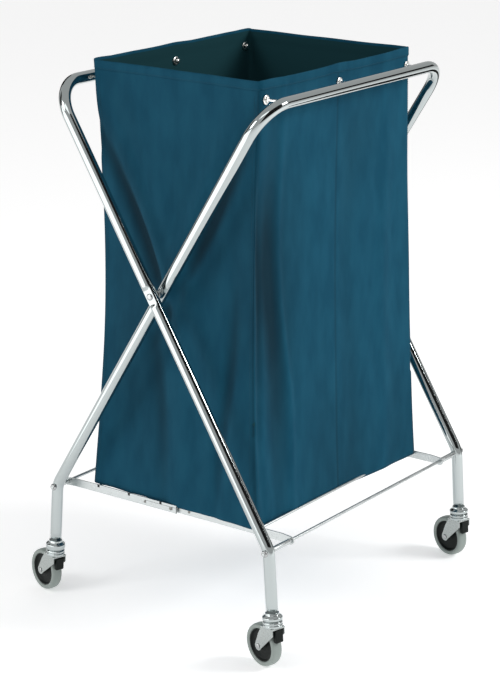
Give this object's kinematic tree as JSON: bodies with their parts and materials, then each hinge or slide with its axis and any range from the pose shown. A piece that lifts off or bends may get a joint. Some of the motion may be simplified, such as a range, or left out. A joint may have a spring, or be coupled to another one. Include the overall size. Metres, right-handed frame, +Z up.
{
  "type": "folding laundry cart",
  "caption": "Folding laundry cart: crossed chrome tube frames on swivel casters with an open fabric bag hung between the top rails.",
  "frame": {"origin": "on the floor under the middle of the outline", "axes": "+X along the two top rails, +Y from the rail of frame A towards the rail of frame B, +Z up"},
  "size_m": [0.692, 0.6254, 1.034],
  "materials": {
    "chrome": "bright chrome plated tube",
    "steel": "satin plated steel",
    "zinc": "zinc plated pressed steel",
    "bolt": "plated fasteners",
    "eyelet": "nickel plated rings",
    "fabric": "closely woven teal cloth with hemmed edge",
    "tyre": "matt grey rubber",
    "black": "black moulded plastic"
  },
  "bodies": {
    "frame_a": {"frame_a_tube": "chrome", "pivot_bolt_left": "bolt", "pivot_bolt_right": "bolt", "pivot_spacer_left": "steel", "pivot_spacer_right": "steel", "pivot_nut_left": "bolt", "pivot_nut_right": "bolt", "rod_a": "steel", "rod_a_spacer_left": "steel", "rod_a_spacer_right": "steel", "rod_a_nut_left": "bolt", "rod_a_nut_right": "bolt", "bag": "fabric", "eyelet_a_left": "eyelet", "eyelet_a_middle": "eyelet", "eyelet_a_right": "eyelet", "stud_a_left": "chrome", "stud_a_middle": "chrome", "stud_a_right": "chrome", "caster_a1_collar": "chrome", "caster_a2_collar": "chrome"},
    "frame_b": {"frame_b_tube": "chrome", "rod_b": "steel", "rod_b_spacer_left": "steel", "rod_b_spacer_right": "steel", "rod_b_nut_left": "bolt", "rod_b_nut_right": "bolt", "stud_b_left": "chrome", "stud_b_middle": "chrome", "stud_b_right": "chrome", "eyelet_b_left": "eyelet", "eyelet_b_middle": "eyelet", "eyelet_b_right": "eyelet", "caster_b1_collar": "chrome", "caster_b2_collar": "chrome"},
    "platform_a_half": {"platform_a": "steel", "centre_rivet_left": "bolt", "centre_rivet_right": "bolt"},
    "platform_b_half": {"platform_b": "steel"},
    "caster_a1_yoke": {"caster_a1_fork": "zinc", "caster_a1_guard": "black", "caster_a1_axle": "bolt"},
    "caster_a1_wheel": {"caster_a1_tyre": "tyre", "caster_a1_hub": "black"},
    "caster_a2_yoke": {"caster_a2_fork": "zinc", "caster_a2_guard": "black", "caster_a2_axle": "bolt"},
    "caster_a2_wheel": {"caster_a2_tyre": "tyre", "caster_a2_hub": "black"},
    "caster_b1_yoke": {"caster_b1_fork": "zinc", "caster_b1_guard": "black", "caster_b1_axle": "bolt"},
    "caster_b1_wheel": {"caster_b1_tyre": "tyre", "caster_b1_hub": "black"},
    "caster_b2_yoke": {"caster_b2_fork": "zinc", "caster_b2_guard": "black", "caster_b2_axle": "bolt"},
    "caster_b2_wheel": {"caster_b2_tyre": "tyre", "caster_b2_hub": "black"}
  },
  "joints": [
    {"name": "frame_fold", "type": "hinge", "parent": "frame_a", "child": "frame_b", "pos_m": [-0.0048, -0.0239, 0.645], "axis": [1, 0, 0], "range_deg": [0, 40], "deforming": ["bag"]},
    {"name": "platform_a_hinge", "type": "hinge", "parent": "frame_a", "child": "platform_a_half", "pos_m": [-0.0048, 0.2328, 0.2225], "axis": [1, 0, 0], "range_deg": [-47.7, 0]},
    {"name": "platform_b_hinge", "type": "hinge", "parent": "frame_b", "child": "platform_b_half", "pos_m": [-0.0048, -0.2806, 0.2225], "axis": [1, 0, 0], "range_deg": [0, 47.7]},
    {"name": "caster_a1_swivel", "type": "hinge", "parent": "frame_a", "child": "caster_a1_yoke", "pos_m": [-0.2962, 0.24226, 0.09205], "axis": [0, -0.0708, 0.9975], "continuous": true},
    {"name": "caster_a1_spin", "type": "hinge", "parent": "caster_a1_yoke", "child": "caster_a1_wheel", "pos_m": [-0.28845, 0.27293, 0.04009], "axis": [-0.961, 0.276, 0.0196], "continuous": true},
    {"name": "caster_a2_swivel", "type": "hinge", "parent": "frame_a", "child": "caster_a2_yoke", "pos_m": [0.2866, 0.24226, 0.09205], "axis": [0, -0.0708, 0.9975], "continuous": true},
    {"name": "caster_a2_spin", "type": "hinge", "parent": "caster_a2_yoke", "child": "caster_a2_wheel", "pos_m": [0.29435, 0.27293, 0.04009], "axis": [-0.961, 0.276, 0.0196], "continuous": true},
    {"name": "caster_b1_swivel", "type": "hinge", "parent": "frame_b", "child": "caster_b1_yoke", "pos_m": [-0.3273, -0.28979, 0.09586], "axis": [0, 0.0708, 0.9975], "continuous": true},
    {"name": "caster_b1_spin", "type": "hinge", "parent": "caster_b1_yoke", "child": "caster_b1_wheel", "pos_m": [-0.31955, -0.26678, 0.04009], "axis": [-0.961, 0.276, -0.0196], "continuous": true},
    {"name": "caster_b2_swivel", "type": "hinge", "parent": "frame_b", "child": "caster_b2_yoke", "pos_m": [0.3177, -0.28979, 0.09586], "axis": [0, 0.0708, 0.9975], "continuous": true},
    {"name": "caster_b2_spin", "type": "hinge", "parent": "caster_b2_yoke", "child": "caster_b2_wheel", "pos_m": [0.32545, -0.26678, 0.04009], "axis": [-0.961, 0.276, -0.0196], "continuous": true}
  ],
  "couplings": [
    {"joint": "platform_a_hinge", "follows": "frame_fold", "ratio": -1.191},
    {"joint": "platform_b_hinge", "follows": "frame_fold", "ratio": 1.191}
  ]
}
